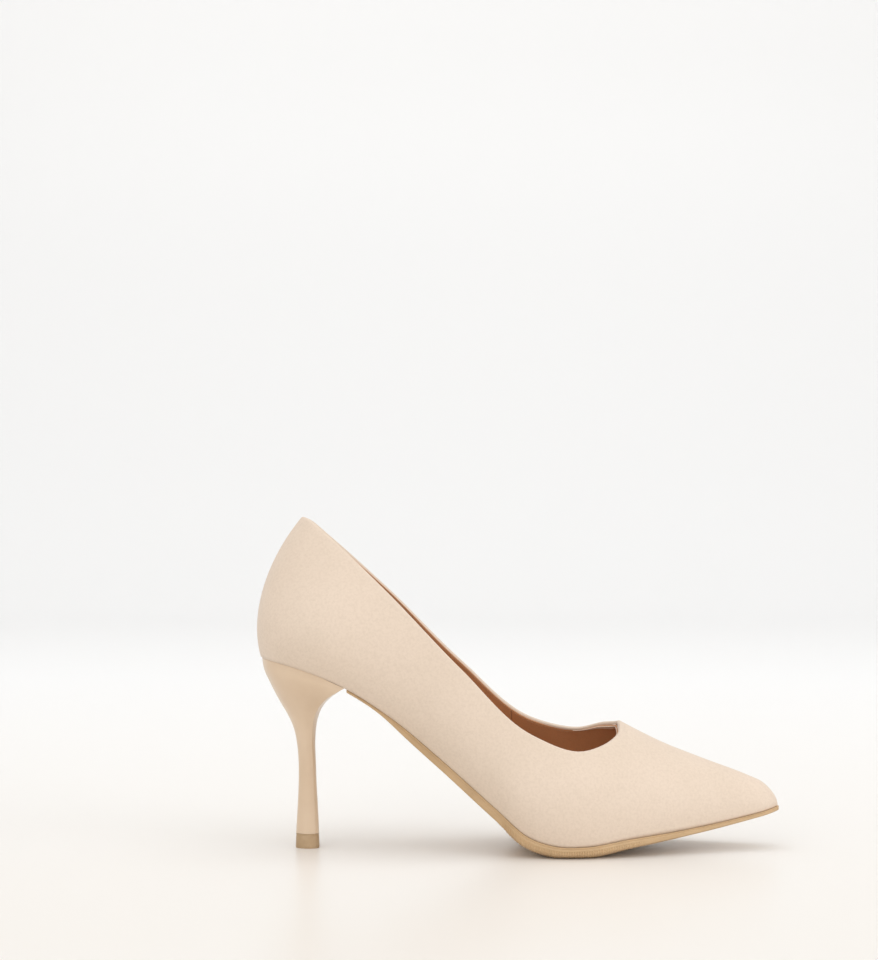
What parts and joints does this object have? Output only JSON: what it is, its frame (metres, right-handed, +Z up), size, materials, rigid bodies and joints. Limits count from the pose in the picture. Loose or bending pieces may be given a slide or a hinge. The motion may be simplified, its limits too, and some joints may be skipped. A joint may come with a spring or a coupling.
{
  "type": "high heel pump",
  "caption": "Pointed court shoe for the right foot on a slim stiletto heel, with a low-cut topline, a lined and cushioned inside and a separate sole and heel tip.",
  "frame": {"origin": "on the ground, under the middle of the shoe's bounding box", "axes": "+X towards the toe, +Y towards the inner (medial) side of the right foot, +Z up"},
  "size_m": [0.2342, 0.0766, 0.1494],
  "materials": {
    "upper_leather": "fine matte nude leather",
    "lining_leather": "smooth tan-brown lining leather",
    "heel_film": "nude covering, smooth and slightly glossy",
    "outsole_rubber": "satin tan",
    "tip_plastic": "tan, matte",
    "heel_plastic": "bare moulded plastic",
    "steel": "bare steel",
    "board": "pressed fibre board",
    "foam": "foam sheet",
    "stiffener": "impregnated felt",
    "tape": "woven tape"
  },
  "bodies": {
    "root": {"upper": "upper_leather", "toe_puff": "stiffener", "heel_counter": "stiffener", "topline_tape": "tape", "vamp_lining": "lining_leather", "quarter_lining": "lining_leather", "heel_grip": "lining_leather", "insole_shank_board": "board", "insole_forepart_board": "board", "insole_cushion": "foam", "sock_lining": "lining_leather", "steel_shank": "steel", "forepart_filler": "foam", "shank_rivet_1": "steel", "shank_rivet_2": "steel", "outsole": "outsole_rubber", "heel_core": "heel_plastic", "heel_cover": "heel_film", "top_piece": "tip_plastic", "top_piece_pin": "steel", "heel_dowel_tube": "steel", "heel_screw": "steel", "heel_nail_1": "steel", "heel_nail_2": "steel", "heel_nail_3": "steel", "heel_nail_4": "steel"}
  },
  "joints": []
}
